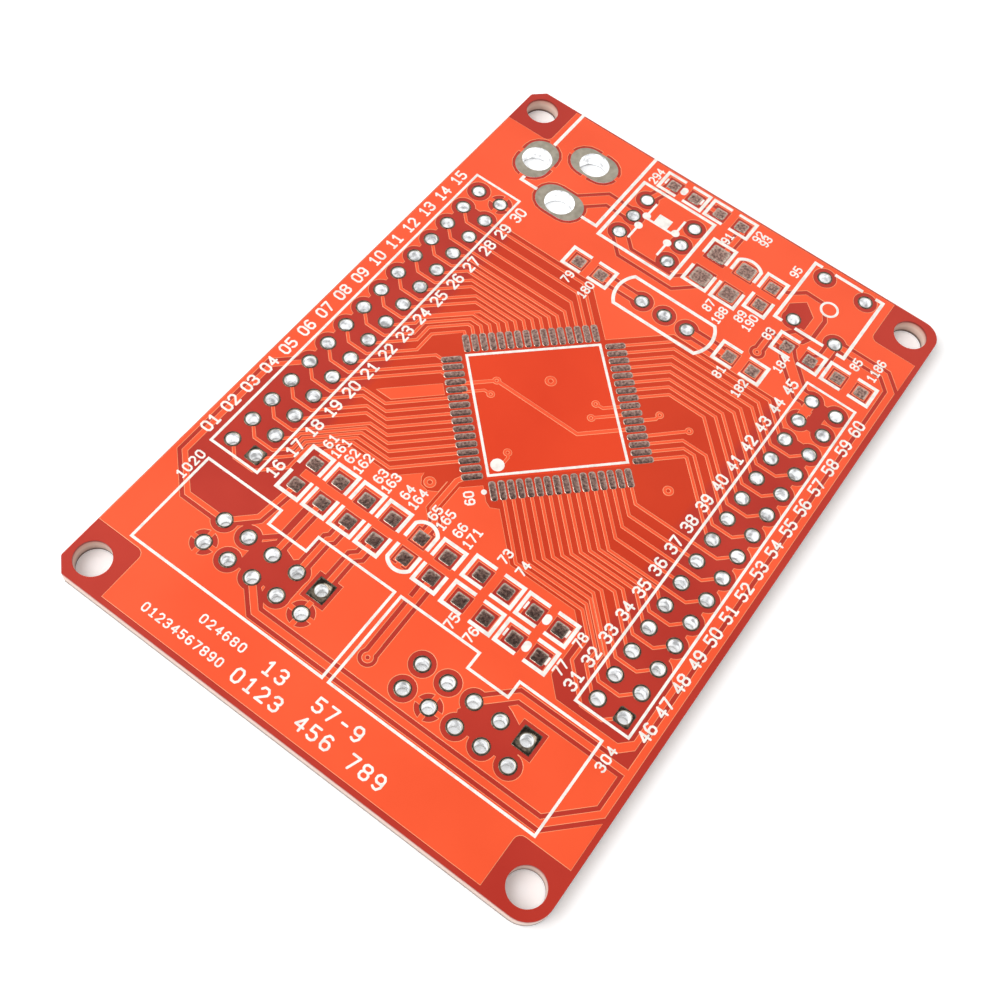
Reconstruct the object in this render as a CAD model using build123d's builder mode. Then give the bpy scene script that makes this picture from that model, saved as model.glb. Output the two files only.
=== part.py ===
"""Bare circuit board for a 64-lead microcontroller, bought with no parts fitted.

Millimetres. +X runs along the long edge towards the power jack's end, +Y across the board and +Z out of
the component side. The origin is the middle of the underside.
"""
import os
from collections import namedtuple
from math import cos, radians, sin

from build123d import *

os.makedirs("parts", exist_ok=True)

# Laminate, with its red solder mask on both faces
board_length = 68.2
board_width = 47.3
board_thickness = 1.6
near_left_radius = 2.3
near_right_radius = 1.9
far_chamfer = 1.15
far_corner_radius = 0.4
half_length = board_length / 2
half_width = board_width / 2

# The routed outline sits a little off the artwork, and the print a little off the copper
artwork_shift_x = 0.08
artwork_shift_y = 0.16
print_shift_x = 0.08
print_shift_y = 0.08

# Tin-finished copper and printed ink, both seated on the masked face
land_thickness = 0.04
ink_thickness = 0.03
fine_line = 0.24
bold_line = 0.34

# Mounting holes, unplated
mounting_hole = 3.2
mounting_inset_x = 2.35
mounting_inset_y = 2.31

# Lead holes, drilled before plating. There are nearly a hundred, so each is drawn with a few flats
pin_pitch = 2.54
lead_hole = 1.15
lead_hole_sides = 12

# Two headers, each two rows of pins beside a long edge
header_pins = 15
header_x = 1.27
header_inset = 4.86
header_outline_length = 38.3
header_outline_width = 5.05
header_outline_lead = 0.1

# Two boxed connectors with a keyed wall, each two columns of pins
connector_pins = 5
connector_inset = 10.12
far_connector_inset = 13.22
near_connector_inset = 13.73
connector_box_width = 9.2
connector_box_length = 19.7
connector_box_lead = 0.13
key_depth = 1.6
key_width = 3.95

# Quad flat package, turned by an eighth of a turn
chip = (2.93, 0.93, 45)
chip_leads = 16
chip_lead_pitch = 0.8
chip_land_length = 1.85
chip_land_width = 0.55
chip_land_radius = 7.58
chip_outline_side = 12.34
chip_dot = 1.24
chip_dot_inset = 0.95
outer_dot = 0.5
outer_dot_out = 1.53
outer_dot_up = 0.62

# Footprints with two lands: pitch and side of the lands, then the printed brackets round them
Footprint = namedtuple("Footprint", "land_pitch land length width gap")
chip_part = Footprint(land_pitch=2.5, land=1.25, length=4.85, width=2.2, gap=0.8)
filter_part = Footprint(land_pitch=2.3, land=1.25, length=5.08, width=2.26, gap=0.8)
supply_part = Footprint(land_pitch=3.4, land=1.75, length=6.05, width=2.55, gap=1.85)
fuse_part = Footprint(land_pitch=3.4, land=1.9, length=6.0, width=2.5, gap=1.85)
inductor_part = Footprint(land_pitch=2.3, land=1.25, length=4.5, width=2.2, gap=0.8)
end_bulge = 0.6
diode_mark_length = 1.0
diode_mark_width = 0.66
diode_bar_length = 0.75
diode_bar_width = 0.2
diode_bar_pitch = 4.12

# Their places: x, y and turn. Columns beside an end of the board keep their distance from it
bank_x = 18.81 - half_length
bank_y = 13.14
bank_pitch = 2.77
bank_count = 4
left_column_x = 17.62 - half_length
right_column_x = 20.55 - half_length
pull_up_y = -5.2
signal_diode_y = -10.6
filter_step = 0.16
inductor_step = 0.12
output_step = 0.4
crystal_column_x = 18.36
edge_column_x = half_length - 1.82
reset_column_x = half_length - 11.26
supply_x = half_length - 7.93
resistors = [(bank_x, bank_y - row * bank_pitch, 0) for row in range(bank_count)] + [
    (left_column_x, pull_up_y, 90),
    (right_column_x, pull_up_y, 90),
    (edge_column_x, -0.9, 90),
    (reset_column_x, -13.98, 90),
]
plain_capacitors = [
    (crystal_column_x, 6.56, 90),
    (crystal_column_x, -10.27, 90),
    (reset_column_x, -19.41, 90),
    (supply_x + output_step, -8.28, 0),
]
filter_capacitor = (bank_x + filter_step, 1.9, 0)
supply_capacitor = (supply_x, -5.31, 0)
inductor = (bank_x + inductor_step, -0.88, 0)
diodes = [
    (left_column_x, signal_diode_y, 90),
    (right_column_x, signal_diode_y, 90),
    (edge_column_x, 4.49, 90),
]
fuse = (supply_x, -2.16, 0)

# Ceramic resonator, three leads in a column
resonator = (crystal_column_x, -1.85, 90)
resonator_pitch = 2.5
resonator_length = 10.3
resonator_width = 3.86
resonator_bulge = 0.7

# Slide switch, two rows of three leads
switch = (half_length - 7.65, 4.07, 0)
switch_row_pitch = 5.53
switch_outline_length = 8.36
switch_outline_width = 8.2
contact_bar_length = 5.3
contact_bar_pitch = 3.32
contact_dot = 0.84
contact_gap = 1.5
slider_x = 0.5
slider_length = 1.3
slider_width = 1.5

# Push button, four leads
button = (half_length - 4.99, 9.76 - half_width, 0)
button_pitch_x = 6.28
button_pitch_y = 4.5
button_outline_length = 8.1
button_outline_width = 7.5
button_ring = 1.62
lead_break = 1.4

# Power jack, three pins in plated holes with long lands
jack_hole = 3.0
plating = 0.05
jack_land_length = 5.05
jack_land_width = 3.45
jack_x = half_length - 7.95
jack_y = half_width - 10.35
jack_pin_pitch = 6.17
jack_side_pin = 4.8
jack_outline_inset = 11.18
jack_outline_width = 8.85
jack_land_clearance = 0.1


def place(x, y, turn=0.0, shift_x=0.0, shift_y=0.0):
    """A plane on the component side, at a point of the artwork and turned about the board's normal."""
    origin = (artwork_shift_x + shift_x + x, artwork_shift_y + shift_y + y, board_thickness)
    return Plane(origin=origin, x_dir=(cos(radians(turn)), sin(radians(turn)), 0), z_dir=(0, 0, 1))


def land_places(*spots):
    """Where the copper of each spot goes."""
    return [place(x, y, turn) for x, y, turn in spots]


def print_places(*spots):
    """Where the print of each spot goes."""
    return [place(x, y, turn, print_shift_x, print_shift_y) for x, y, turn in spots]


def lead_hole_profile():
    """The outline of a lead hole, never narrower than its drill."""
    RegularPolygon(lead_hole / 2, lead_hole_sides, major_radius=False)


def two_lands(footprint):
    """A square land under each end of a part that lies along X."""
    with GridLocations(footprint.land_pitch, 0, 2, 1):
        Rectangle(footprint.land, footprint.land)


def frame(length, width, line):
    """A closed rectangular outline whose line is centred on the given size."""
    Rectangle(length + line, width + line)
    Rectangle(length - line, width - line, mode=Mode.SUBTRACT)


def brackets(footprint):
    """Two brackets that face each other, open where the part's body crosses."""
    frame(footprint.length, footprint.width, bold_line)
    Rectangle(footprint.gap, 2 * footprint.width, mode=Mode.SUBTRACT)


def swollen_rectangle(length, width, left_bulge, right_bulge):
    """A filled rectangle along X whose ends can swell outwards as arcs."""
    end, side = length / 2, width / 2
    left = end - left_bulge
    right = end - right_bulge
    with BuildLine() as edge:
        Line((-left, -side), (right, -side))
        if right_bulge:
            ThreePointArc((right, -side), (end, 0), (right, side))
        else:
            Line((right, -side), (right, side))
        Line((right, side), (-left, side))
        if left_bulge:
            ThreePointArc((-left, side), (-end, 0), (-left, -side))
        else:
            Line((-left, side), (-left, -side))
    make_face(edge.edges())


def hollow_to_line(line):
    """Keep only a line of this width, centred on the edge of what is drawn so far."""
    offset(amount=line / 2, kind=Kind.INTERSECTION)
    offset(amount=-line, kind=Kind.INTERSECTION, mode=Mode.SUBTRACT)


hole_pitch_x = board_length - 2 * mounting_inset_x
hole_pitch_y = board_width - 2 * mounting_inset_y
header_y = half_width - header_inset
headers = [(header_x, header_y, 0), (header_x, -header_y, 0)]
connectors = [
    (connector_inset - half_length, half_width - far_connector_inset, 0),
    (connector_inset - half_length, near_connector_inset - half_width, 0),
]
jack_outline_length = jack_outline_inset - artwork_shift_x - print_shift_x
jack_pins = [
    (jack_x, jack_y + jack_side_pin, 0),
    (jack_x - jack_pin_pitch / 2, jack_y, 90),
    (jack_x + jack_pin_pitch / 2, jack_y, 90),
]

# Laminate: the routed outline, then every drilled hole
with BuildPart() as board:
    with BuildSketch() as routed:
        Rectangle(board_length, board_width)
        chamfer(routed.vertices().group_by(Axis.Y)[-1], far_chamfer)
        fillet(routed.vertices().group_by(Axis.Y)[-1], far_corner_radius)
        fillet(routed.vertices().group_by(Axis.Y)[0].sort_by(Axis.X)[0], near_left_radius)
        fillet(routed.vertices().group_by(Axis.Y)[0].sort_by(Axis.X)[-1], near_right_radius)
    extrude(amount=board_thickness)
    with Locations(place(0, 0)):
        with GridLocations(hole_pitch_x, hole_pitch_y, 2, 2):
            Hole(mounting_hole / 2)
    with Locations(*land_places(*jack_pins)):
        Hole(jack_hole / 2 + plating)
    with BuildSketch(*land_places(*headers)):
        with GridLocations(pin_pitch, pin_pitch, header_pins, 2):
            lead_hole_profile()
    with BuildSketch(*land_places(*connectors)):
        with GridLocations(pin_pitch, pin_pitch, 2, connector_pins):
            lead_hole_profile()
    with BuildSketch(*land_places(resonator)):
        with GridLocations(resonator_pitch, 0, 3, 1):
            lead_hole_profile()
    with BuildSketch(*land_places(switch)):
        with GridLocations(pin_pitch, switch_row_pitch, 3, 2):
            lead_hole_profile()
    with BuildSketch(*land_places(button)):
        with GridLocations(button_pitch_x, button_pitch_y, 2, 2):
            lead_hole_profile()
    extrude(amount=-board_thickness, mode=Mode.SUBTRACT)

# Lands of the chip: four rows, each turned by a quarter
with BuildPart() as chip_lands:
    with BuildSketch(place(*chip)):
        with PolarLocations(chip_land_radius, 4):
            with GridLocations(0, chip_lead_pitch, 1, chip_leads):
                Rectangle(chip_land_length, chip_land_width)
    extrude(amount=land_thickness)

# Lands of the parts with two ends
with BuildPart() as resistor_lands:
    with BuildSketch(*land_places(*resistors)):
        two_lands(chip_part)
    extrude(amount=land_thickness)

with BuildPart() as capacitor_lands:
    with BuildSketch(*land_places(*plain_capacitors)):
        two_lands(chip_part)
    with BuildSketch(*land_places(filter_capacitor)):
        two_lands(filter_part)
    with BuildSketch(*land_places(supply_capacitor)):
        two_lands(supply_part)
    extrude(amount=land_thickness)

with BuildPart() as inductor_lands:
    with BuildSketch(*land_places(inductor)):
        two_lands(inductor_part)
    extrude(amount=land_thickness)

with BuildPart() as diode_lands:
    with BuildSketch(*land_places(*diodes)):
        two_lands(chip_part)
    extrude(amount=land_thickness)

with BuildPart() as fuse_lands:
    with BuildSketch(*land_places(fuse)):
        two_lands(fuse_part)
    extrude(amount=land_thickness)

# The jack's plated holes: a long land on the component side and a barrel down through the laminate
with BuildPart() as jack_eyelets:
    with BuildSketch(*land_places(*jack_pins)):
        SlotOverall(jack_land_length, jack_land_width)
    extrude(amount=land_thickness)
    with BuildSketch(*land_places(*jack_pins)):
        Circle(jack_hole / 2 + plating)
    extrude(amount=-board_thickness)
    with Locations(*land_places(*jack_pins)):
        Hole(jack_hole / 2)

# Printed outlines of the two headers
with BuildPart() as header_outlines:
    with BuildSketch(*print_places(*headers)):
        with Locations((header_outline_lead, 0)):
            frame(header_outline_length, header_outline_width, fine_line)
    extrude(amount=ink_thickness)

# Printed outlines of the two boxed connectors, stepped in at the key
with BuildPart() as connector_outlines:
    with BuildSketch(*print_places(*connectors)):
        with Locations((connector_box_lead, 0)):
            Rectangle(connector_box_width, connector_box_length)
        with Locations((connector_box_lead + (connector_box_width - key_depth) / 2, 0)):
            Rectangle(key_depth, key_width, mode=Mode.SUBTRACT)
        hollow_to_line(fine_line)
    extrude(amount=ink_thickness)

# Printed outline of the chip, with a dot inside the corner of lead 1 and a small dot outside it
with BuildPart() as chip_outline:
    with BuildSketch(*print_places(chip)):
        frame(chip_outline_side, chip_outline_side, fine_line)
        with Locations((chip_dot_inset - chip_outline_side / 2, chip_outline_side / 2 - chip_dot_inset)):
            Circle(chip_dot / 2)
        with Locations((-chip_outline_side / 2 - outer_dot_out, chip_outline_side / 2 + outer_dot_up)):
            Circle(outer_dot / 2)
    extrude(amount=ink_thickness)

# Printed brackets of the parts with two ends
with BuildPart() as resistor_outlines:
    with BuildSketch(*print_places(*resistors)):
        brackets(chip_part)
    extrude(amount=ink_thickness)

with BuildPart() as capacitor_outlines:
    with BuildSketch(*print_places(*plain_capacitors)):
        brackets(chip_part)
    with BuildSketch(*print_places(filter_capacitor)):
        swollen_rectangle(filter_part.length, filter_part.width, end_bulge, end_bulge)
        hollow_to_line(bold_line)
        Rectangle(filter_part.gap, 2 * filter_part.width, mode=Mode.SUBTRACT)
    with BuildSketch(*print_places(supply_capacitor)):
        swollen_rectangle(supply_part.length, supply_part.width, 0, end_bulge)
        hollow_to_line(bold_line)
        Rectangle(supply_part.gap, 2 * supply_part.width, mode=Mode.SUBTRACT)
    extrude(amount=ink_thickness)

with BuildPart() as inductor_outline:
    with BuildSketch(*print_places(inductor)):
        brackets(inductor_part)
    extrude(amount=ink_thickness)

with BuildPart() as fuse_outline:
    with BuildSketch(*print_places(fuse)):
        brackets(fuse_part)
    extrude(amount=ink_thickness)

# Diodes have a mark between their lands and a bar beyond each
with BuildPart() as diode_outlines:
    with BuildSketch(*print_places(*diodes)):
        brackets(chip_part)
        SlotOverall(diode_mark_length, diode_mark_width, rotation=90)
        with GridLocations(diode_bar_pitch, 0, 2, 1):
            Rectangle(diode_bar_width, diode_bar_length)
    extrude(amount=ink_thickness)

# Printed outline of the resonator, with swollen ends
with BuildPart() as resonator_outline:
    with BuildSketch(*print_places(resonator)):
        swollen_rectangle(resonator_length, resonator_width, resonator_bulge, resonator_bulge)
        hollow_to_line(bold_line)
    extrude(amount=ink_thickness)

# Printed outline of the switch, with two broken contact bars and the slider that joins them
with BuildPart() as switch_outline:
    with BuildSketch(*print_places(switch)):
        frame(switch_outline_length, switch_outline_width, bold_line)
        with GridLocations(0, contact_bar_pitch, 1, 2):
            Rectangle(contact_bar_length, fine_line)
            Rectangle(contact_gap, fine_line, mode=Mode.SUBTRACT)
        with GridLocations(contact_gap, contact_bar_pitch, 2, 2):
            Circle(contact_dot / 2)
        with Locations((slider_x, 0)):
            Rectangle(fine_line, contact_bar_pitch)
            Rectangle(slider_length, slider_width, align=(Align.MIN, Align.CENTER))
    extrude(amount=ink_thickness)

# Printed outline of the push button, broken beside each lead, with a ring for its plunger
with BuildPart() as button_outline:
    with BuildSketch(*print_places(button)):
        frame(button_outline_length, button_outline_width, bold_line)
        with GridLocations(button_outline_length, button_pitch_y, 2, 2):
            Rectangle(2 * bold_line, lead_break, mode=Mode.SUBTRACT)
        Circle((button_ring + fine_line) / 2)
        Circle((button_ring - fine_line) / 2, mode=Mode.SUBTRACT)
    extrude(amount=ink_thickness)

# Printed outline of the jack, open at the board's end and broken at the two lands that it meets
with BuildPart() as jack_outline:
    with BuildSketch(*print_places((half_length - jack_outline_inset, jack_y, 0))):
        with GridLocations(0, jack_outline_width, 1, 2):
            Rectangle(jack_outline_length, bold_line, align=(Align.MIN, Align.CENTER))
        Rectangle(bold_line, jack_outline_width + bold_line)
    extrude(amount=ink_thickness)
    with BuildSketch(*land_places(*jack_pins)):
        SlotOverall(jack_land_length + 2 * jack_land_clearance, jack_land_width + 2 * jack_land_clearance)
    extrude(amount=ink_thickness, mode=Mode.SUBTRACT)

nodes = {
    "board": board,
    "chip_lands": chip_lands,
    "resistor_lands": resistor_lands,
    "capacitor_lands": capacitor_lands,
    "inductor_lands": inductor_lands,
    "diode_lands": diode_lands,
    "fuse_lands": fuse_lands,
    "jack_eyelets": jack_eyelets,
    "header_outlines": header_outlines,
    "connector_outlines": connector_outlines,
    "chip_outline": chip_outline,
    "resistor_outlines": resistor_outlines,
    "capacitor_outlines": capacitor_outlines,
    "inductor_outline": inductor_outline,
    "fuse_outline": fuse_outline,
    "diode_outlines": diode_outlines,
    "resonator_outline": resonator_outline,
    "switch_outline": switch_outline,
    "button_outline": button_outline,
    "jack_outline": jack_outline,
}
for name, node in nodes.items():
    node.part.label = name
    export_step(node.part, f"parts/{name}.step")
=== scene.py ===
"""Looks of the bare microcontroller board: copper under its mask, tinned lands, print, light and camera."""
from math import cos, pi, radians, sin, sqrt

import bpy
from mathutils import Matrix, Vector
from mathutils.geometry import delaunay_2d_cdt


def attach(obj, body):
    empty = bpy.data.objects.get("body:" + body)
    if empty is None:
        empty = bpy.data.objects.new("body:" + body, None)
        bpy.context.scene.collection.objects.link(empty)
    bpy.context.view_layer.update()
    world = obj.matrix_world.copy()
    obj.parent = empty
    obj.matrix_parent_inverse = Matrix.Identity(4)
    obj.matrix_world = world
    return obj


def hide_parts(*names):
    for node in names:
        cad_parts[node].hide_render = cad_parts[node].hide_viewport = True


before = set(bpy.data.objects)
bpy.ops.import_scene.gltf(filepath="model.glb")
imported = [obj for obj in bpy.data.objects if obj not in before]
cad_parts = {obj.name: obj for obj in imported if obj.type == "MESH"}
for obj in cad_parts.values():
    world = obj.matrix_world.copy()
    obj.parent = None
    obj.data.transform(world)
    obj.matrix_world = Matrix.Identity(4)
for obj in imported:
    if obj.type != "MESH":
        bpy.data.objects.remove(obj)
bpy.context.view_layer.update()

# Sizes are in millimetres, and places count from the middle of the artwork.
MM = 0.001                   # one millimetre in metres
TOP = 1.6                    # height of the laminate's masked face
SHIFT = (0.08, 0.16)         # the artwork's middle, from the middle of the board
POUR = [(-33.68, -23.28), (33.84, -23.28), (33.84, 23.4), (-33.68, 23.4)]   # outline of the copper pour
CORNER_PATCH = 7.0           # side of the bare square round each screw hole
PITCH = 2.54                 # of the headers and connectors
FIRST_PIN = -16.51           # x of the headers' first column
HEADER_PINS = 15             # columns in a header
OUTER, INNER = 20.066, 17.526    # y of the headers' two rows
LEAD_HOLE = 0.55             # radius inside the plating
LEAD_CLEAR = 0.64            # radius of the hole in the masked copper, under a lead's land
LEAD_COPPER = 0.7            # radius of the masked copper under a lead's land
LEAD_GAP = 1.2               # radius of the opening in a pour round a lead
SPOKE = (1.3, 0.4)           # reach and width of the copper that ties a grounded lead to the pour
JACK_LAND = (5.05, 3.45)     # length and width of a jack's land
JACK_HOLE = 1.5              # radius inside the eyelet
JACK_CLEAR = 1.62            # radius of the hole in the masked copper, under a jack's land
JACK_GAP = 0.35              # bare laminate round a jack's land
CHIP = (2.93, 0.93)          # middle of the chip
CHIP_TURN = 45               # degrees
SIGNAL = 0.42                # width of most tracks outside the chip's fans
GAP = 0.45                   # bare laminate on each side of a track
RELIEF = 0.018               # mask over copper stands this much above mask over bare laminate
UNDER = 0.0015               # lands stand this much proud of the underside
CUSHION = 0.04               # height of the solder on a land, and of a lead's land


# ---------------------------------------------------------------- shapes in the artwork's plane, millimetres
def disc(x, y, r, sides=28):
    return [(x + r * cos(2 * pi * k / sides), y + r * sin(2 * pi * k / sides)) for k in range(sides)]


def box(x, y, length, width, turn=0.0, corner=0.0):
    """A rectangle, turned by this many degrees, with rounded corners where a radius is given."""
    a, b, c, s = length / 2, width / 2, cos(radians(turn)), sin(radians(turn))
    if corner:
        pts = []
        for qx, qy, start in ((1, 1, 0), (-1, 1, 90), (-1, -1, 180), (1, -1, 270)):
            for k in range(5):
                t = radians(start + 22.5 * k)
                pts.append((qx * (a - corner) + corner * cos(t), qy * (b - corner) + corner * sin(t)))
    else:
        pts = [(a, b), (-a, b), (-a, -b), (a, -b)]
    return [(x + c * px - s * py, y + s * px + c * py) for px, py in pts]


def stroke(points, width, cap=True):
    """The outline of a line of this width through the points, with mitred bends and rounded ends."""
    pts = [Vector(p) for p in points]
    pts = [p for k, p in enumerate(pts) if k == 0 or (p - pts[k - 1]).length > 1e-4]
    half = width / 2
    ways = [(b - a).normalized() for a, b in zip(pts, pts[1:])]
    left, right = [], []
    for k, p in enumerate(pts):
        a, b = ways[max(k - 1, 0)], ways[min(k, len(ways) - 1)]
        n = Vector((-a.y - b.y, a.x + b.x))
        n = n.normalized() if n.length > 1e-6 else Vector((-a.y, a.x))
        reach = half / max(n.dot(Vector((-a.y, a.x))), 0.5)
        left.append(p + n * reach)
        right.append(p - n * reach)

    def end(p, way):
        n = Vector((-way.y, way.x))
        return [p + (n * cos(t) + way * sin(t)) * half for t in (pi * k / 8 for k in range(1, 8))]

    tail = [tuple(q) for q in end(pts[-1], ways[-1])] if cap else []
    head = [tuple(q) for q in end(pts[0], -ways[0])] if cap else []
    return [tuple(q) for q in left] + tail + [tuple(q) for q in reversed(right)] + head


def chip_point(p, q):
    """A point of the chip's own axes, which are turned by 45 degrees, on the artwork's."""
    return (CHIP[0] + (p - q) / sqrt(2), CHIP[1] + (p + q) / sqrt(2))


def corner_patches():
    """The squares of bare laminate round the four screw holes."""
    return [box(x * 32.3, y * 22.0, CORNER_PATCH, CORNER_PATCH, corner=0.7) for x in (-1, 1) for y in (-1, 1)]


# ---------------------------------------------------------------- meshes
def on_board(x, y, z):
    """A point of the artwork, in metres from the middle of the board."""
    return ((x + SHIFT[0]) * MM, (y + SHIFT[1]) * MM, z * MM)


def add_mesh(name, verts, polys):
    mesh = bpy.data.meshes.new(name)
    mesh.from_pydata(verts, [], polys)
    mesh.update()
    obj = bpy.data.objects.new(name, mesh)
    bpy.context.scene.collection.objects.link(obj)
    return obj


def turning(outline):
    """Twice the area inside an outline, negative when it runs clockwise."""
    return sum(a[0] * b[1] - b[0] * a[1] for a, b in zip(outline, outline[1:] + outline[:1]))


def plate(name, layers, z_base, z_face, skirt=0.0):
    """A thin plate from overlapping layers of (outline, on), where the last layer over a point decides.

    Its face lies at z_face, above or below its base. The base is wider by the skirt on each side, and
    obj["flats"] counts the polygons of face and base, which come before those of the rim.
    """
    verts, faces = [], []
    for outline, _ in layers:
        if turning(outline) < 0:
            outline = outline[::-1]
        faces.append(list(range(len(verts), len(verts) + len(outline))))
        verts.extend(Vector(p) for p in outline)
    inside_only, tolerance, with_origin = 1, 1e-5, True
    out, _, triangles, _, _, origin = delaunay_2d_cdt(verts, [], faces, inside_only, tolerance, with_origin)
    kept = [t for t, sources in zip(triangles, origin) if sources and layers[max(sources)][1]]
    used = sorted({v for t in kept for v in t})
    index = {v: k for k, v in enumerate(used)}
    kept = [[index[v] for v in t] for t in kept]
    flat = [out[v] for v in used]

    sides = set()
    for t in kept:
        for k in range(3):
            sides.add((t[k], t[(k + 1) % 3]))
    rim = [(a, b) for a, b in sides if (b, a) not in sides]
    push = {}
    for a, b in rim:
        way = (flat[b] - flat[a]).normalized()
        for v in (a, b):
            push.setdefault(v, []).append(Vector((way.y, -way.x)))

    n = len(flat)
    up = z_face > z_base
    points = [on_board(p.x, p.y, z_face) for p in flat]
    for k, p in enumerate(flat):
        d = Vector((0, 0))
        if k in push and skirt:
            d = sum(push[k], Vector((0, 0)))
            d = d.normalized() * skirt if d.length > 0.2 else Vector((0, 0))
        points.append(on_board(p.x + d.x, p.y + d.y, z_base))
    polys = [t if up else t[::-1] for t in kept]
    polys += [[v + n for v in (t[::-1] if up else t)] for t in kept]
    flats = len(polys)
    polys += [[a, a + n, b + n, b] if up else [b, b + n, a + n, a] for a, b in rim]
    obj = add_mesh(name, points, polys)
    obj["flats"] = flats
    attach(obj, "root")
    return obj


# ---------------------------------------------------------------- where the CAD's own lands are
two_ended = ("resistor_lands", "capacitor_lands", "inductor_lands", "diode_lands", "fuse_lands")


def islands(node):
    """The separate solids of a CAD node, each as its points in the artwork's plane."""
    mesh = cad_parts[node].data
    root = list(range(len(mesh.vertices)))

    def find(k):
        while root[k] != k:
            root[k] = root[root[k]]
            k = root[k]
        return k

    same = {}    # vertices in the same place, to a micrometre, are one
    for v in mesh.vertices:
        key = tuple(round(c * 1e6) for c in v.co)
        root[find(v.index)] = find(same.setdefault(key, v.index))
    for e in mesh.edges:
        root[find(e.vertices[0])] = find(e.vertices[1])
    groups = {}
    for v in mesh.vertices:
        groups.setdefault(find(v.index), []).append(Vector((v.co.x / MM - SHIFT[0], v.co.y / MM - SHIFT[1])))
    return list(groups.values())


def land_boxes(node, turn=0.0):
    """Centre and sizes of each land of a node, along axes turned by this many degrees."""
    c, s = cos(radians(turn)), sin(radians(turn))
    found = []
    for pts in islands(node):
        a = [p.x * c + p.y * s for p in pts]
        b = [p.y * c - p.x * s for p in pts]
        ma, mb = (min(a) + max(a)) / 2, (min(b) + max(b)) / 2
        found.append((ma * c - mb * s, ma * s + mb * c, max(a) - min(a), max(b) - min(b)))
    return found


# ---------------------------------------------------------------- holes
def pin_x(column):
    """Where a column of the headers stands."""
    return FIRST_PIN + PITCH * column


header_pins = [(pin_x(k), y) for k in range(HEADER_PINS) for y in (OUTER, INNER, -INNER, -OUTER)]
connector_pins = [(x, y + PITCH * k) for x in (-25.25, -22.71) for y in (10.43, -9.92) for k in range(-2, 3)]
resonator_pins = [(18.36, -1.85 + 2.5 * k) for k in (-1, 0, 1)]
switch_pins = [(26.45 + PITCH * k, 4.07 + 2.765 * row) for k in (-1, 0, 1) for row in (-1, 1)]
button_pins = [(29.11 + 3.14 * a, -13.89 + 2.25 * b) for a in (-1, 1) for b in (-1, 1)]
first_header_pins = [(FIRST_PIN, INNER), (FIRST_PIN, -OUTER)]
first_connector_pins = [(-22.71, 5.35), (-22.71, -15.0)]
lead_pins = header_pins + connector_pins + resonator_pins + switch_pins + button_pins
jack_pins = [(26.15, 18.1, 0), (26.15 - 3.085, 13.3, 90), (26.15 + 3.085, 13.3, 90)]   # x, y and turn
grounded = [(-25.25, 15.51), (-25.25, 5.35), (-25.25, -7.38), (19.05, INNER)]
# x, y and radius of each via
vias = [(*chip_point(-3.98, 4.14), 0.35), (*chip_point(2.03, 4.66), 0.33), (*chip_point(3.38, 3.89), 0.35),
        (*chip_point(2.86, -0.94), 0.5), (*chip_point(-1.29, -3.84), 0.33), (*chip_point(0.09, -4.53), 0.33),
        (-24.9, -1.1, 0.44), (-9.34, 4.53, 0.5), (2.89, -12.03, 0.45), (8.89, -7.34, 0.33),
        (9.17, -10.31, 0.33), (20.5, -10.8, 0.38)]


def jack_line(x, y, turn):
    """The middle line of a jack's long land."""
    half = (JACK_LAND[0] - JACK_LAND[1]) / 2
    return [(x, y - half), (x, y + half)] if turn else [(x - half, y), (x + half, y)]


def near(p, group):
    """Whether a point is one of the group."""
    return any(abs(p[0] - q[0]) < 0.2 and abs(p[1] - q[1]) < 0.2 for q in group)


def add_vias(layers):
    """The copper of each via, and the hole in it."""
    for x, y, r in vias:
        layers += [(disc(x, y, r, 20), True), (disc(x, y, r * 0.5, 12), False)]


def drill(layers):
    """Takes the masked copper out of every plated hole."""
    layers += [(disc(*p, LEAD_CLEAR), False) for p in lead_pins]
    layers += [(disc(x, y, JACK_CLEAR, 42), False) for x, y, _ in jack_pins]


# ---------------------------------------------------------------- copper of the component side
def escape(lead, channel, turn_y, pin, outer, side, level=None):
    """From a chip's lead, out at 45 degrees to its channel, along it, and over to its header pin.

    The channel is the x along which a track leaves the chip. A track to the outer row passes between two
    pins of the inner row. The side is 1 for the upper header and -1 for the lower one. Where a level is
    given, the track leaves its channel at turn_y and runs along the header on that y.
    """
    x0, y0 = lead
    goal = pin - PITCH / 2 if outer else pin
    end_y = side * (16.75 if outer else 17.0)
    between_rows = 18.75
    path = [(x0, y0)]
    if abs(channel - x0) > 0.01:
        path.append((channel, y0 + side * abs(channel - x0)))
    way = -1 if goal < channel else 1
    if level is None:
        path.append((channel, end_y - side * abs(channel - goal)))
    else:
        first, last = abs(level - turn_y), abs(end_y - level)
        path += [(channel, turn_y), (channel + way * first, level), (goal - way * last, level)]
    path.append((goal, end_y))
    if outer:
        path += [(goal, side * between_rows), (pin, side * (between_rows + PITCH / 2))]
    else:
        path.append((pin, side * INNER))
    return path


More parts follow.
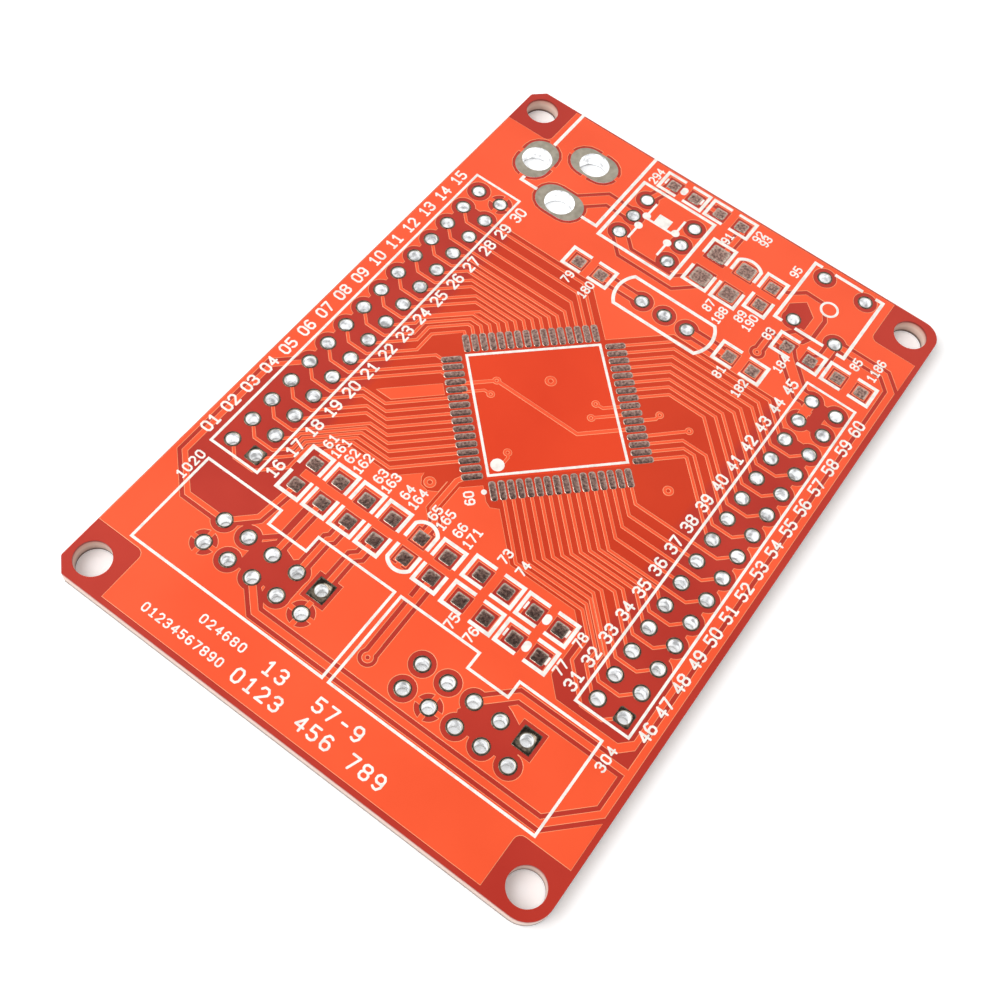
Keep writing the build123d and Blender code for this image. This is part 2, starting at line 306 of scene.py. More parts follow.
def chip_fans():
    """Tracks from the chip's four rows to the two headers, lead by lead."""
    paths = []
    rows_out = 8.3           # of the four rows, from the chip's middle
    lead_pitch = 0.8

    def place(lead):
        row, k = divmod(lead - 1, 16)
        run = 6 - lead_pitch * k if row in (0, 3) else -6 + lead_pitch * k
        return chip_point(*((-rows_out, run), (run, -rows_out), (rows_out, run), (run, rows_out))[row])

    def add(lead, channel, turn_y, order, side, level=None):
        x, y = place(lead)
        paths.append(escape((x, y), x if channel is None else channel, turn_y, pin_x(order // 2),
                            order % 2 == 0, side, level))

    # lower header: order counts its pins outer, inner, outer and so on from the left
    for lead in range(2, 12):
        add(lead, -10.96 + 0.602 * (lead - 2), -12.3, lead - 2, -1,
            {2: -14.06, 3: -15.2, 4: -15.75}.get(lead))
    for lead in range(12, 17):
        add(lead, -1.27 * (16 - lead), 0, lead - 2, -1)
    for lead, channel in zip((17, 18, 19), (6.7, 7.35, 8.0)):
        add(lead, channel, 0, lead - 2, -1)
    for lead in range(25, 33):
        add(lead, 11.27 + 0.68 * (lead - 25) + 0.012 * (lead - 25) ** 2, 0, lead - 7, -1)
    # upper header
    for lead, channel, order in ((33, 16.51, 27), (34, 15.24, 26), (35, 13.97, 25), (36, 12.7, 24)):
        add(lead, channel, 0, order, 1)
    for lead in range(37, 49):
        add(lead, 11.85 - 0.6 * (lead - 37) if lead < 48 else 4.95, 11.45 + 0.18 * (48 - lead), 60 - lead, 1,
            {45: 15.4, 46: 14.85, 47: 14.2, 48: 13.55}.get(lead))
    for lead in (49, 50, 51):
        add(lead, None, 0, 60 - lead, 1)
    for lead in range(54, 63):
        add(lead, -5.55 - 0.605 * (lead - 54), 12.0, 62 - lead, 1,
            {62: 14.65, 61: 15.1, 60: 15.55, 59: 16.0}.get(lead))
    return paths


def component_side():
    """The copper pour, what is open in it, and the tracks, in the order in which they lie over each other."""
    layers = []

    def bare(outline):
        layers.append((outline, False))

    def copper(outline):
        layers.append((outline, True))

    def track(points, width, gap=GAP):
        if gap:
            bare(stroke(points, width + 2 * gap))
        copper(stroke(points, width))

    copper(POUR)
    for patch in corner_patches():
        bare(patch)
    # open ground for the tracks: round the chip, along each header, and in each connector
    bare([(-10.85, 11.8), (-13.45, 14.4), (17.15, 14.4), (17.15, 5.5), (12.55, 0.93), (17.15, -3.7),
          (17.15, -14.7), (15.0, -16.8), (-13.2, -13.6), (-11.4, -11.8), (-11.4, -5.3), (-7.75, -1.6),
          (-8.15, -0.9), (-7.9, -0.3), (-6.8, 0.8), (-8.1, 2.1), (-8.4, 3.4), (-9.65, 3.4), (-10.15, 4.2),
          (-10.0, 5.0), (-9.4, 5.4), (-8.95, 5.45), (-10.85, 7.35)])
    bare([(-22.35, 14.6), (-22.35, 19.6), (-19.7, 22.25), (-8.6, 22.25), (-6.6, 20.4), (17.15, 20.4),
          (17.15, 13.4), (-21.15, 13.4)])
    bare([(-18.6, -14.9), (-17.1, -13.4), (17.15, -13.4), (14.65, -17.2), (14.65, -19.3), (13.4, -20.4),
          (-10.5, -20.4), (-11.8, -21.75), (-17.65, -21.75), (-18.6, -20.8)])
    bare([(-19.9, -20.5), (-18.2, -22.2), (-19.9, -22.7)])
    bare([(-25.25, 12.2), (-22.71, 12.2), (-21.4, 11.0), (-21.4, 10.4), (-22.71, 6.75), (-25.25, 6.75)])
    bare([(-23.98, -9.2), (-22.71, -9.92), (-21.2, -11.9), (-21.5, -12.8), (-22.71, -15.1), (-25.25, -15.1),
          (-25.25, -9.92)])
    # what stays poured inside the open ground
    copper([(-4.9, 13.75), (-0.75, 9.6), (-1.55, 8.8), (-4.9, 12.15)])

    # openings in the pour, round the lands of the two-ended parts, the leads and the jack
    land_gap = 0.25
    for node in two_ended:
        for x, y, a, b in land_boxes(node):
            bare(box(x, y, a + 2 * land_gap, b + 2 * land_gap))
    for p in lead_pins:
        if near(p, first_header_pins):
            bare(box(*p, 2.1, 2.1))
        elif near(p, first_connector_pins):
            bare(box(*p, 2.7, 2.4))
        else:
            bare(disc(*p, LEAD_GAP))
    for pin in jack_pins:
        bare(stroke(jack_line(*pin), JACK_LAND[1] + 2 * JACK_GAP))

    # the long way round of the reset line, and the two connectors' other tracks
    track([(-25.25, 10.43), (-27.4, 8.28), (-27.4, -19.4), (-23.9, -22.9), (24.65, -22.9), (26.05, -21.5),
           (26.05, -16.6)], 0.55)
    track([(-6.35, OUTER), (-8.7, 22.42), (-19.8, 22.42), (-22.71, 19.51), (-22.71, 15.51)], SIGNAL)
    track([(-22.71, 15.51), (-20.75, 13.55), (-16.5, 13.1)], SIGNAL)
    bare(stroke([(-22.4, 12.5), (-21.0, 11.05), (-16.9, 11.05)], 0.5))
    track([(-22.71, 10.43), (-16.5, 10.37)], SIGNAL)
    track([(-22.71, 7.89), (-18.9, 7.89), (-18.6, 7.6), (-16.5, 7.6)], SIGNAL)
    track([(-22.71, 5.35), (-18.9, 5.35), (-18.4, 4.83), (-16.5, 4.83)], SIGNAL)
    down = [(-22.71, -9.92), (-20.13, -12.5), (-20.13, -22.4)]
    bare(stroke(down, 1.4, cap=False))
    copper(stroke(down + [(-20.13, -22.9)], 0.5))
    track([(-24.9, -1.1), (-16.4, -1.0)], 0.5)
    bare(disc(-24.9, -1.1, 0.85))
    track([(-24.9, -1.1), (-23.5, -1.1)], 0.5, 0)
    track([(-16.5, 1.9), (-18.9, 1.9), (-18.9, -0.9)], SIGNAL, 0)
    # supply of the analogue side, from the chip's last lead
    track([chip_point(-6, 8.2), (-7.8, 2.82), (-11.2, 2.82), (-12.1, 1.9), (-14.0, 1.9)], SIGNAL, 0.36)
    # supply: jack, switch, fuse, its capacitors and the two header pins
    track([(23.07, 13.3), (26.5, 9.87), (26.45, 6.83)], 0.95)
    track([(23.91, 6.83), (22.15, 5.07), (22.15, -0.4), (23.9, -2.16), (24.5, -2.16)], 1.0)
    track([(28.99, 6.83), (32.3, 5.8)], SIGNAL)
    track([(32.28, 3.3), (32.28, 0.3)], SIGNAL)
    track([(28.2, -2.5), (31.6, -2.6)], SIGNAL, 0.4)
    track([(19.05, -INNER), (19.05, -16.2), (21.85, -13.4), (22.84, -12.7)], 0.9)
    bare(box(17.78, -18.75, 3.4, 1.3))
    copper(box(17.78, -INNER, 2.54, 0.9))
    track([(20.5, -10.8), (22.9, -10.8), (22.84, -12.7)], 0.4, 0.4)
    bare(disc(20.5, -10.8, 0.8))
    track([(20.5, -10.8), (21.7, -10.8)], 0.4, 0)
    # round the button
    bare([(25.4, -10.6), (27.4, -10.4), (28.6, -11.7), (27.4, -13.1), (25.5, -13.1)])
    for line in ([(28.3, -9.6), (28.8, -10.3), (29.55, -11.1), (29.5, -12.9)],
                 [(24.1, -11.8), (24.95, -12.5), (24.95, -13.7), (25.4, -14.15), (27.7, -14.15),
                  (28.3, -13.8)],
                 [(24.2, -13.6), (25.4, -14.15)]):
        bare(stroke(line, 0.52))
    track([(22.84, -15.4), (23.7, -16.14), (25.97, -16.14)], 0.7)
    # resonator to its two capacitors
    track([(18.36, 5.31), (18.36, 0.65)], 0.6)
    track([(18.36, -4.35), (18.36, -9.0)], 0.6)
    for x, y, a, b in land_boxes("capacitor_lands"):
        copper(box(x, y, a, b))

    fan_width = 0.22
    for path in chip_fans():
        copper(stroke(path, fan_width))

    # short tracks to the vias round the chip, along the chip's own axes
    for path, width in (
        ([(-3.98, 4.14), (-4.5, 4.2), (-4.9, 4.6)], 0.2),
        ([(2.03, 4.66), (2.5, 5.15), (2.5, 7.0)], 0.2),
        ([(3.38, 7.0), (3.38, 3.89), (-2.79, -2.28), (-2.79, -7.0)], 0.3),
        ([(-1.29, -3.84), (-1.29, -7.0)], 0.24),
        ([(0.09, -4.53), (-0.41, -5.09), (-0.41, -7.0)], 0.24),
        ([(-3.6, -8.2), (-3.53, -12.36)], 0.26),
        ([(-2.0, -8.2), (-2.0, -9.6), (-1.63, -10.06)], 0.26),
    ):
        copper(stroke([chip_point(*p) for p in path], width))

    # spokes from the grounded leads and two of the jack's lands into the pour, then vias and holes
    for p in lead_pins:
        if near(p, grounded):
            for a in range(4):
                way = (cos(pi * a / 2), sin(pi * a / 2))
                tip = (p[0] + SPOKE[0] * way[0], p[1] + SPOKE[0] * way[1])
                copper(stroke([p, tip], SPOKE[1], cap=False))
        copper(disc(*p, LEAD_COPPER))
    for x, y, turn in (jack_pins[0], jack_pins[2]):
        reach = (2.1, 2.9) if turn else (2.9, 2.1)
        for way in (-1, 1):
            copper(stroke([(x, y), (x + way * reach[0], y)], 0.5, cap=False))
            copper(stroke([(x, y), (x, y + way * reach[1])], 0.5, cap=False))
    add_vias(layers)
    drill(layers)
    return layers


def solder_side():
    """Ground poured over the underside, open along the headers and round every other land."""
    layers = [(POUR, True)]

    def bare(outline):
        layers.append((outline, False))

    for patch in corner_patches():
        bare(patch)
    for y in (-1, 1):
        bare(box(1.27, y * 18.8, HEADER_PINS * PITCH, 5.2, corner=0.6))
    for p in lead_pins:
        bare(disc(*p, 1.5 if near(p, first_connector_pins) else LEAD_GAP))
    for pin in jack_pins:
        bare(stroke(jack_line(*pin), JACK_LAND[1] + 2 * JACK_GAP))
    for p in grounded[:3]:
        for a in range(2):
            layers.append((box(*p, 2 * SPOKE[0], SPOKE[1], 90 * a), True))
    add_vias(layers)
    drill(layers)
    return layers


# ---------------------------------------------------------------- materials
def material(name, color, rough, metallic=0.0):
    m = bpy.data.materials.new(name)
    m.use_nodes = True
    shader = m.node_tree.nodes["Principled BSDF"]
    shader.inputs["Base Color"].default_value = (*color, 1)
    shader.inputs["Roughness"].default_value = rough
    shader.inputs["Metallic"].default_value = metallic
    return m, m.node_tree, shader


def srgb(r, g, b):
    """A colour as a picture editor names it, 0 to 255, in linear light."""
    def linear(c):
        c /= 255
        return c / 12.92 if c <= 0.04 else ((c + 0.055) / 1.055) ** 2.4

    return (linear(r), linear(g), linear(b))


def noise(tree, scale, detail=4.0):
    node = tree.nodes.new("ShaderNodeTexNoise")
    node.inputs["Scale"].default_value = scale
    node.inputs["Detail"].default_value = detail
    node.inputs["Roughness"].default_value = 0.5
    coord = tree.nodes.new("ShaderNodeTexCoord")
    tree.links.new(coord.outputs["Object"], node.inputs["Vector"])
    return node.outputs["Fac"]


def ramp(tree, fac, *stops):
    node = tree.nodes.new("ShaderNodeValToRGB")
    tree.links.new(fac, node.inputs["Fac"])
    while len(node.color_ramp.elements) < len(stops):
        node.color_ramp.elements.new(0.5)
    for element, (at, color) in zip(node.color_ramp.elements, stops):
        element.position = at
        element.color = (*color, 1)
    return node.outputs["Color"]


def bump(tree, shader, height, strength, distance):
    node = tree.nodes.new("ShaderNodeBump")
    node.inputs["Strength"].default_value = strength
    node.inputs["Distance"].default_value = distance
    tree.links.new(height, node.inputs["Height"])
    tree.links.new(node.outputs["Normal"], shader.inputs["Normal"])


def feed(tree, value, socket):
    """Links another node's output to a socket, or sets a constant on it."""
    if isinstance(value, bpy.types.NodeSocket):
        tree.links.new(value, socket)
    else:
        socket.default_value = value


def calc(tree, operation, *values):
    node = tree.nodes.new("ShaderNodeMath")
    node.operation = operation
    for value, socket in zip(values, node.inputs):
        feed(tree, value, socket)
    return node.outputs[0]


def blend(tree, fac, a, b, kind="MIX"):
    node = tree.nodes.new("ShaderNodeMix")
    node.data_type = "RGBA"
    node.blend_type = kind
    for value, socket in zip((fac, a, b), ("Factor", "A", "B")):
        feed(tree, value, node.inputs[socket])
    return node.outputs["Result"]


def axes(tree, node, output):
    """X, Y and Z of a new node's vector."""
    split = tree.nodes.new("ShaderNodeSeparateXYZ")
    tree.links.new(tree.nodes.new(node).outputs[output], split.inputs["Vector"])
    return split.outputs


def position(tree):
    """Where a point lies on the object, in metres."""
    return axes(tree, "ShaderNodeTexCoord", "Object")


def slope(tree):
    """0 on walls and 1 on level faces."""
    return calc(tree, "ABSOLUTE", axes(tree, "ShaderNodeNewGeometry", "Normal")["Z"])


def mottle(tree, scale, low, high, stops=(0.35, 0.65), detail=4):
    """A colour that wanders between two."""
    return ramp(tree, noise(tree, scale, detail), (stops[0], low), (stops[1], high))


MASK_GLOSS = 0.22            # specular level of solder mask, on copper and on bare laminate


def mask_material(name, low, high):
    m, tree, shader = material(name, high, 0.3)
    tree.links.new(mottle(tree, 90, low, high, detail=3), shader.inputs["Base Color"])
    bump(tree, shader, noise(tree, 1500, 3), 0.12, 0.00002)
    shader.inputs["Specular IOR Level"].default_value = MASK_GLOSS
    return m


def laminate_material():
    """Mask without copper on the faces, pale resin and glass on the edges.

    The mask is lighter where the other side's copper shows through, and more so under the chip; over
    the fans it is a little darker, partly as painted shade between the tracks.
    """
    m, tree, shader = material("laminate", srgb(196, 52, 34), 0.35)
    at = position(tree)
    # dark, lighter over the other side's copper and the fans, a little darkened there as painted shade
    # between the tracks, and lightest under the chip
    shades = [mottle(tree, 90, srgb(*low), srgb(*high), detail=3) for low, high in (
        ((177, 49, 37), (189, 57, 43)), ((198, 54, 25), (208, 61, 30)), ((220, 62, 28), (228, 68, 32)))]

    def within(axis, middle, reach):
        """1 or more inside a band across the board, falling to 0 over its last 0.8 mm."""
        distance = calc(tree, "ABSOLUTE", calc(tree, "SUBTRACT", at[axis], middle * MM))
        return calc(tree, "MULTIPLY", calc(tree, "SUBTRACT", reach * MM, distance), 1200.0)

    backed = calc(tree, "MINIMUM", within("X", 2.6, 15.0), within("Y", 0.2, 15.0))
    backed = calc(tree, "MAXIMUM", calc(tree, "MINIMUM", backed, 1.0), 0.0)
    from_chip = [calc(tree, "SUBTRACT", at[axis], (CHIP[k] + SHIFT[k]) * MM) for k, axis in enumerate("XY")]
    spans = [calc(tree, "ABSOLUTE", calc(tree, way, *from_chip)) for way in ("ADD", "SUBTRACT")]
    half_side = 6.4 * sqrt(2) * MM    # of the turned square: a sum of two axes is sqrt(2) times the distance
    under_chip = calc(tree, "LESS_THAN", calc(tree, "MAXIMUM", *spans), half_side)
    face = blend(tree, backed, shades[0], blend(tree, under_chip, shades[1], shades[2]))

    height = calc(tree, "DIVIDE", at["Z"], TOP * MM)
    uneven = calc(tree, "ADD", height, calc(tree, "MULTIPLY", noise(tree, 700, 3), 0.06))
    # edges: dark resin and a painted contact shadow at the foot, pale resin and glass, mask red at the top
    edge = ramp(tree, uneven, (0.12, srgb(92, 76, 70)), (0.23, srgb(204, 176, 162)),
                (0.55, srgb(230, 204, 190)), (0.82, srgb(222, 176, 160)), (0.94, srgb(150, 48, 38)))
    level = calc(tree, "GREATER_THAN", slope(tree), 0.5)
    tree.links.new(blend(tree, level, edge, face), shader.inputs["Base Color"])
    shader.inputs["Specular IOR Level"].default_value = MASK_GLOSS
    return m


def solder_material(name, low, high, flanks=None):
    """Dull, grainy solder, with another pair of colours on the flanks of a cushion where they are given."""
    m, tree, shader = material(name, high, 0.2, 0.92)
    color = mottle(tree, 4200, low, high, (0.34, 0.66))
    if flanks:
        climb = calc(tree, "SUBTRACT", position(tree)["Z"], (TOP + CUSHION * 0.7) * MM)
        climb = calc(tree, "DIVIDE", climb, CUSHION * 0.2 * MM)
        color = blend(tree, climb, mottle(tree, 4200, *flanks, (0.34, 0.66)), color)
    tree.links.new(color, shader.inputs["Base Color"])
    bump(tree, shader, noise(tree, 5200), 0.4, 0.00003)
    return m


def plated_material(name, color, dim, bright):
    """Plated lands and walls. The walls glow with painted light off the paper below, painted shade at the
    ends.
    """
    m, tree, shader = material(name, color, 0.3, 0.85)
    wall = calc(tree, "LESS_THAN", slope(tree), 0.4)
    height = calc(tree, "DIVIDE", position(tree)["Z"], TOP * MM)
    # painted shade: the walls' glow falls to 0.12 at the barrel's foot and to 0.55 at its mouth
    ends = ramp(tree, height, (0.05, (0.12, 0.12, 0.12)), (0.15, (1, 1, 1)), (0.9, (1, 1, 1)),
                (0.98, (0.55, 0.55, 0.55)))
    # painted light: the walls glow though they are no lamp, in a mottled grey between dim and bright
    painted_wall_glow = mottle(tree, 1400, (dim, dim, dim), (bright, bright, bright), (0.36, 0.56), 3)
    glow = blend(tree, wall, (0, 0, 0, 1), blend(tree, 1.0, painted_wall_glow, ends, "MULTIPLY"))
    tree.links.new(glow, shader.inputs["Emission Color"])
    shader.inputs["Emission Strength"].default_value = 1.0
    lands = mottle(tree, 1600, srgb(154, 146, 131), srgb(181, 173, 157), (0.3, 0.7))
    walls = mottle(tree, 1400, srgb(150, 150, 152), srgb(206, 208, 210), (0.36, 0.56), 3)
    tree.links.new(blend(tree, wall, lands, walls), shader.inputs["Base Color"])
    bump(tree, shader, noise(tree, 1800, 3), 0.3, 0.00003)
    return m


def ink_material():
    m, tree, shader = material("ink", srgb(244, 238, 230), 0.6)
    tree.links.new(mottle(tree, 1600, srgb(232, 224, 216), srgb(248, 243, 236), (0.32, 0.56)),
                   shader.inputs["Base Color"])
    bump(tree, shader, noise(tree, 2400, 3), 0.2, 0.00002)
    return m


mask_on_copper = mask_material("mask_on_copper", srgb(241, 87, 50), srgb(248, 93, 55))
# paler mask for the copper's sloped rim: the thin mask over its edge, partly a painted highlight
mask_edge = mask_material("mask_edge", srgb(242, 148, 106), srgb(249, 164, 120))
laminate = laminate_material()
solder = solder_material("solder", srgb(104, 76, 70), srgb(184, 150, 138),
                         (srgb(166, 144, 130), srgb(212, 190, 176)))
thin_solder = solder_material("thin_solder", srgb(74, 66, 58), srgb(128, 117, 102))
ink = ink_material()
# the last two numbers are the dim and bright painted glow of the plated walls
tin = plated_material("tin", srgb(190, 184, 170), 0.4, 0.74)
plating = plated_material("plating", srgb(178, 180, 182), 0.2, 0.6)

for name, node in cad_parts.items():
    node.data.materials.clear()
    node.data.materials.append(
        laminate if name == "board" else tin if name.endswith(("lands", "eyelets")) else ink)

# ---------------------------------------------------------------- pieces
copper = plate("masked_copper", component_side(), TOP, TOP + RELIEF, skirt=0.05)
copper.data.materials.append(mask_on_copper)
copper.data.materials.append(mask_edge)
# the rim takes the paler mask, partly a painted highlight along every edge of the copper
for poly in copper.data.polygons:
    poly.material_index = 1 if poly.index >= copper["flats"] else 0
under = plate("underside_copper", solder_side(), 0.0, -UNDER * 0.75)
under.data.materials.append(mask_on_copper)

jack_undersides = [(stroke(jack_line(*pin), JACK_LAND[1]), True) for pin in jack_pins]
jack_undersides += [(disc(x, y, JACK_HOLE, 42), False) for x, y, _ in jack_pins]
below = plate("jack_lands_below", jack_undersides, 0.0, -UNDER)
below.data.materials.append(tin)


def pillows(node):
    """Solder on each land of a node: a low cushion with a rounded outline."""
    verts, polys = [], []
    on_chip = node == "chip_lands"
    turn = CHIP_TURN if on_chip else 0
    spread = 0.1 if on_chip else 0.0
    for x, y, a, b in land_boxes(node, turn):
        a, b = a + spread, b + spread
        soft = min(a, b) / 2
        steps = [(0.0, 0.0), (0.02, 0.35)]    # how far in, and how high as a share of the cushion
        steps += [(0.02 + 0.8 * soft * (1 - cos(t)), 0.35 + 0.65 * sin(t))
                  for t in (pi / 2 * k / 5 for k in range(1, 6))]
        base, sides = len(verts), 20
        for inset, rise in steps:
            corner = max((0.8 if on_chip else 0.3) * (soft - inset), 0.02)
            for px, py in box(x, y, a - 2 * inset, b - 2 * inset, turn, corner):
                verts.append(on_board(px, py, TOP + CUSHION * rise))
        rings = [range(base + i * sides, base + (i + 1) * sides) for i in range(len(steps))]
        for low, high in zip(rings, rings[1:]):
            for k in range(sides):
                n = (k + 1) % sides
                polys.append([low[k], low[n], high[n], high[k]])
        polys.append(list(rings[-1]))
        polys.append(list(reversed(rings[0])))
    obj = add_mesh(node + "_solder", verts, polys)
    for poly in obj.data.polygons:
        poly.use_smooth = poly.normal.z > 0
    obj.data.materials.append(solder)
    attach(obj, "root")
    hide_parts(node)


for node in ("chip_lands", *two_ended):
    pillows(node)


def eyelets(name, pins, reach):
    """Plated lands: a land on each face, joined by a barrel through the laminate.

    The profile runs once round the section: height over the laminate, whether the point belongs to the
    outline, which reach gives for each direction, or to the hole, and how far out from there it lies.
    """
    outline, hole, segments = True, False, 32
    profile = [(CUSHION, outline, -0.05), (CUSHION * 0.8, outline, -0.012), (0, outline, 0), (0, hole, 0.06),
               (-TOP, hole, 0.06), (-TOP, outline, 0), (-UNDER - TOP, outline, -0.02),
               (-UNDER - TOP, hole, 0.04), (0.05 - TOP, hole, 0), (CUSHION - 0.05, hole, 0),
               (CUSHION, hole, 0.05)]
    verts, polys, walls = [], [], []
    for x, y in pins:
        base = len(verts)
        for z, outer, more in profile:
            for k in range(segments):
                t = 2 * pi * (k + 0.5) / segments
                r = (reach(t) if outer else LEAD_HOLE) + more
                verts.append(on_board(x + r * cos(t), y + r * sin(t), TOP + z))
        for i in range(len(profile)):
            j = (i + 1) % len(profile)
            here, there = base + i * segments, base + j * segments
            for k in range(segments):
                n = (k + 1) % segments
                polys.append([here + n, here + k, there + k, there + n])
                walls.append(not profile[i][1] and not profile[j][1])
    obj = add_mesh(name, verts, polys)
    obj.data.materials.append(thin_solder)
    obj.data.materials.append(plating)
    for poly, wall in zip(obj.data.polygons, walls):
        poly.use_smooth = True
        poly.material_index = int(wall)
    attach(obj, "root")


def rectangle_reach(a, b):
    """How far a rectangle's outline is from its middle, by direction."""
    return lambda t: min(a / 2 / max(abs(cos(t)), 1e-6), b / 2 / max(abs(sin(t)), 1e-6))


round_pins = [p for p in lead_pins if not near(p, first_header_pins + first_connector_pins)]
eyelets("round_lead_lands", round_pins, lambda t: 0.75)
eyelets("square_lead_lands", first_header_pins, rectangle_reach(1.5, 1.5))
eyelets("long_lead_lands", first_connector_pins, rectangle_reach(2.0, 1.7))

# ---------------------------------------------------------------- printed figures
# strokes of each figure in a cell one high and 0.6 wide
FIGURE_WIDTH = 0.6
FIGURES = {
    "-": [[(0.1, 0.5), (0.5, 0.5)]],
    "0": [[(0.15, 0.0), (0.0, 0.2), (0.0, 0.8), (0.15, 1.0), (0.45, 1.0), (0.6, 0.8), (0.6, 0.2), (0.45, 0.0),
           (0.15, 0.0)]],
    "1": [[(0.12, 0.8), (0.34, 1.0), (0.34, 0.0)], [(0.12, 0.0), (0.56, 0.0)]],
    "2": [[(0.0, 0.8), (0.15, 1.0), (0.45, 1.0), (0.6, 0.8), (0.6, 0.6), (0.0, 0.0), (0.6, 0.0)]],
    "3": [[(0.0, 0.85), (0.15, 1.0), (0.45, 1.0), (0.6, 0.85), (0.6, 0.65), (0.45, 0.53), (0.22, 0.53)],
          [(0.45, 0.53), (0.6, 0.38), (0.6, 0.15), (0.45, 0.0), (0.15, 0.0), (0.0, 0.15)]],
    "4": [[(0.46, 0.0), (0.46, 1.0), (0.0, 0.32), (0.64, 0.32)]],
    "5": [[(0.57, 1.0), (0.05, 1.0), (0.02, 0.55), (0.42, 0.58), (0.6, 0.42), (0.6, 0.17), (0.43, 0.0),
           (0.15, 0.0), (0.0, 0.12)]],
    "6": [[(0.52, 0.92), (0.38, 1.0), (0.18, 1.0), (0.0, 0.75), (0.0, 0.2), (0.15, 0.0), (0.45, 0.0),
           (0.6, 0.18), (0.6, 0.4), (0.45, 0.56), (0.15, 0.56), (0.02, 0.42)]],
    "7": [[(0.0, 1.0), (0.6, 1.0), (0.22, 0.0)]],
    "8": [[(0.15, 0.53), (0.0, 0.68), (0.0, 0.86), (0.15, 1.0), (0.45, 1.0), (0.6, 0.86), (0.6, 0.68),
           (0.45, 0.53), (0.15, 0.53)],
          [(0.15, 0.53), (0.0, 0.38), (0.0, 0.15), (0.15, 0.0), (0.45, 0.0), (0.6, 0.15), (0.6, 0.38),
           (0.45, 0.53)]],
    "9": [[(0.08, 0.08), (0.22, 0.0), (0.42, 0.0), (0.6, 0.25), (0.6, 0.8), (0.45, 1.0), (0.15, 1.0),
           (0.0, 0.82), (0.0, 0.6), (0.15, 0.44), (0.45, 0.44), (0.58, 0.58)]],
}


def figures(text, x, y, height, line, turn=0.0, length=None):
    """Outlines of the strokes of plain numbers, centred on a point.

    The height and the length, which may be given, are those of the print with its line's width.
    """
    found = []
    c, s = cos(radians(turn)), sin(radians(turn))
    tall = height - line     # of the strokes' middle lines
    advance = 0.9            # from one figure to the next, as a share of that
    if length:
        advance = (length - line - FIGURE_WIDTH * tall) / (len(text) - 1) / tall
    wide = (len(text) - 1) * advance * tall + FIGURE_WIDTH * tall
    for k, mark in enumerate(text):
        for strokes in FIGURES.get(mark, []):
            pts = [((px + k * advance) * tall - wide / 2, py * tall - tall / 2) for px, py in strokes]
            pts = [(x + c * px - s * py, y + s * px + c * py) for px, py in pts]
            for a, b in zip(pts, pts[1:]):
                found.append((stroke([a, b], line), True))
    return found


def printed_figures():
    """Numbers along the headers, beside the parts and at the connectors' end of the board."""
    pin_print, part_print, small_print, large_print = (1.18, 0.19), (0.95, 0.16), (0.85, 0.14), (1.35, 0.2)
    marks = []
    for k in range(HEADER_PINS):
        for y, first in ((22.56, 1), (15.43, 16), (-15.16, 31), (-22.2, 46)):
            marks += figures(f"{first + k:02d}", pin_x(k) + 0.05, y, *pin_print)
    names = [(16.2, 7.66, "79"), (16.0, 5.5, "180"), (16.3, -9.1, "81"), (15.95, -11.5, "182"),
             (23.0, -10.6, "83"), (20.75, -13.25, "184"), (25.3, -18.85, "85"), (25.9, -20.7, "1186"),
             (22.1, -4.5, "87"), (21.75, -5.9, "188"), (22.95, -7.5, "89"), (22.85, -8.6, "190"),
             (30.1, -1.8, "91"), (32.3, -4.1, "92"), (32.3, -4.95, "93"), (32.2, 7.75, "294"),
             (31.0, -9.1, "95"), (-16.2, -13.72, "77"), (-13.3, -13.72, "78"), (-18.35, -4.5, "75"),
             (-18.35, -6.4, "76"), (-11.0, -4.6, "73"), (-11.0, -6.4, "74")]
    bank = [(-11.5, 13.5, "61", 12.4, "161"), (-11.5, 11.2, "62", 10.0, "162"),
            (-11.5, 8.1, "63", 7.0, "163"), (-11.3, 5.4, "64", 4.3, "164"),
            (-11.4, 2.4, "65", 1.3, "165"), (-11.4, -0.2, "66", -1.45, "171")]
    for x, upper, number, lower, value in bank:
        names += [(x, upper, number), (x, lower, value)]
    for x, y, text in names:
        marks += figures(text, x, y, *part_print)
    marks += figures("60", -8.5, 1.0, *part_print, CHIP_TURN)
    marks += figures("1020", -20.5, 21.16, *part_print, length=3.0)
    marks += figures("304", -20.2, -20.75, *part_print, length=2.2)
    marks += figures("01234567890", -32.25, 11.45, *small_print, -90, 8.1)
    marks += figures("024680", -30.25, 9.05, *small_print, -90, 4.5)
    marks += figures("0123 456 789", -32.2, -1.05, *large_print, -90, 14.7)
    marks += figures("13  57-9", -30.25, 0.0, *large_print, -90, 9.6)
    return marks


# the figures lie a hair inside the CAD print's 0.03, so that their faces share no plane with its faces
print_plate = plate("printed_figures", printed_figures(), TOP + 0.002, TOP + 0.028)
print_plate.data.materials.append(ink)

# ---------------------------------------------------------------- floor, light and camera
def seen(tree):
    """1 for what the camera sees, directly or in gloss or glass, and 0 for the light on the object."""
    paths = tree.nodes.new("ShaderNodeLightPath")
    direct = calc(tree, "MAXIMUM", paths.outputs["Is Camera Ray"], paths.outputs["Is Glossy Ray"])
    return calc(tree, "MAXIMUM", direct, paths.outputs["Is Transmission Ray"])


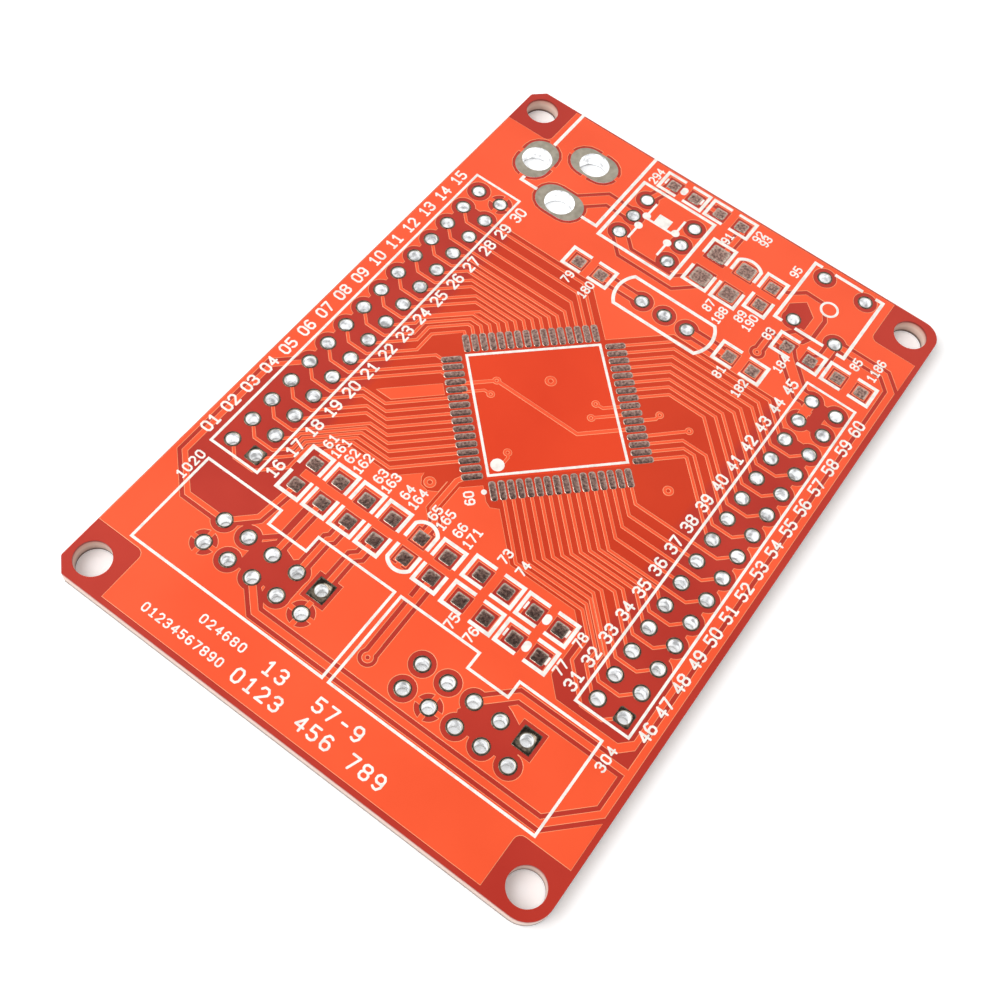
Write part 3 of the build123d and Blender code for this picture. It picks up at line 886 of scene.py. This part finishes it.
# white paper, which stays white where it leaves the lamp's light
side, level = 3.0, -2e-5     # metres
floor = add_mesh("floor", [(-side, -side, level), (side, -side, level), (side, side, level),
                           (-side, side, level)], [[0, 1, 2, 3]])
paper, paper_tree, paper_shader = material("paper", srgb(252, 252, 252), 0.8)
coord = paper_tree.nodes.new("ShaderNodeTexCoord")
distance = paper_tree.nodes.new("ShaderNodeVectorMath")
distance.operation = "LENGTH"
paper_tree.links.new(coord.outputs["Object"], distance.inputs[0])
away = calc(paper_tree, "MINIMUM", calc(paper_tree, "MULTIPLY", distance.outputs["Value"], 0.6), 0.4)
paper_shader.inputs["Emission Color"].default_value = (1, 1, 1, 1)
glow = calc(paper_tree, "MULTIPLY", seen(paper_tree), calc(paper_tree, "ADD", away, 0.12))
paper_tree.links.new(glow, paper_shader.inputs["Emission Strength"])
floor.data.materials.append(paper)

# a white room with a dark patch overhead, which gives the solder something to mirror
world = bpy.data.worlds.new("world")
bpy.context.scene.world = world
world.use_nodes = True
sky_tree = world.node_tree
backdrop = sky_tree.nodes["Background"]
height = axes(sky_tree, "ShaderNodeTexCoord", "Generated")["Z"]
sky = ramp(sky_tree, height, (0.0, (1, 1, 1)), (0.84, (1, 1, 1)), (0.87, (0.85, 0.84, 0.83)),
           (0.9, (0.14, 0.13, 0.13)), (0.94, (0.04, 0.04, 0.04)))
sky_tree.links.new(sky, backdrop.inputs["Color"])
strength = calc(sky_tree, "ADD", 0.8, calc(sky_tree, "MULTIPLY", seen(sky_tree), 0.2))
sky_tree.links.new(strength, backdrop.inputs["Strength"])


def aim(obj, eye, target, roll=0.0):
    """Puts a lamp or camera in its place, turned to a target and rolled by this many degrees."""
    eye, target = Vector(eye), Vector(target)
    way = (target - eye).to_track_quat("-Z", "Y").to_matrix()
    obj.location = eye
    obj.rotation_euler = (way @ Matrix.Rotation(radians(roll), 3, "Z")).to_euler()


key = bpy.data.lights.new("key", "AREA")
key.shape = "SQUARE"
key.size = 0.45
key.energy = 2.4
lamp = bpy.data.objects.new("key", key)
bpy.context.scene.collection.objects.link(lamp)
aim(lamp, (-0.24, 0.26, 0.46), (0, 0, 0))

# the camera looks down at the board from beyond its connector end
camera = bpy.data.cameras.new("camera")
camera.lens = 46.22
camera.sensor_width = 36
camera.clip_start = 0.001
view = bpy.data.objects.new("camera", camera)
bpy.context.scene.collection.objects.link(view)
aim(view, (-0.05352, -0.02225, 0.09749), (-0.006904, -0.000976, 0.0016), 12.58)
bpy.context.scene.camera = view
bpy.context.scene.view_settings.view_transform = "Standard"
